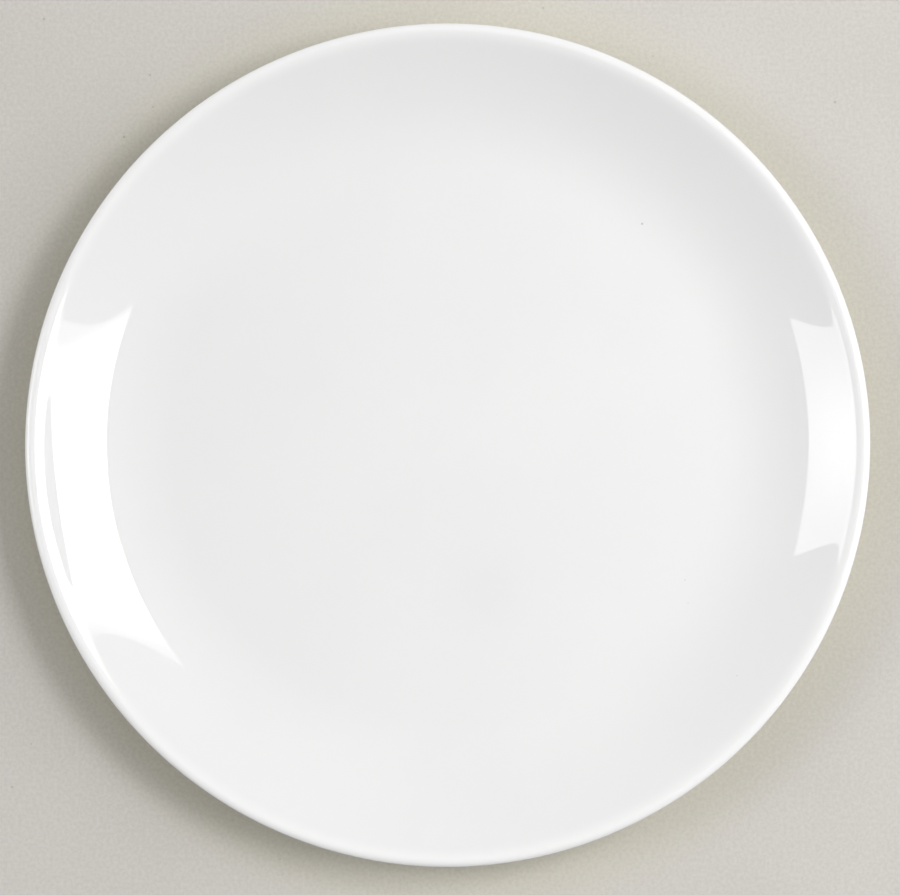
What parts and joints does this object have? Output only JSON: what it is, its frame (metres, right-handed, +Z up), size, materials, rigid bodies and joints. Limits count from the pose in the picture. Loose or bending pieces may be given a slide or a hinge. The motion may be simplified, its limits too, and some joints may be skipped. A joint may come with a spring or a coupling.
{
  "type": "coupe salad plate",
  "caption": "Round rimless coupe salad plate with a flat well, a gently dished wall, a rounded lip and a foot ring.",
  "frame": {"origin": "on the plate's axis, in the plane that the foot ring stands on", "axes": "+Z up along the plate's axis, towards the face; X and Y lie in the plane of the table and are alike"},
  "size_m": [0.21, 0.21, 0.0182],
  "materials": {
    "bisque": "bare fired porcelain, matt, slightly rough",
    "glaze": "white gloss glaze"
  },
  "bodies": {
    "root": {"plate_body": "bisque", "outer_glaze": "glaze", "recess_glaze": "glaze"}
  },
  "joints": []
}
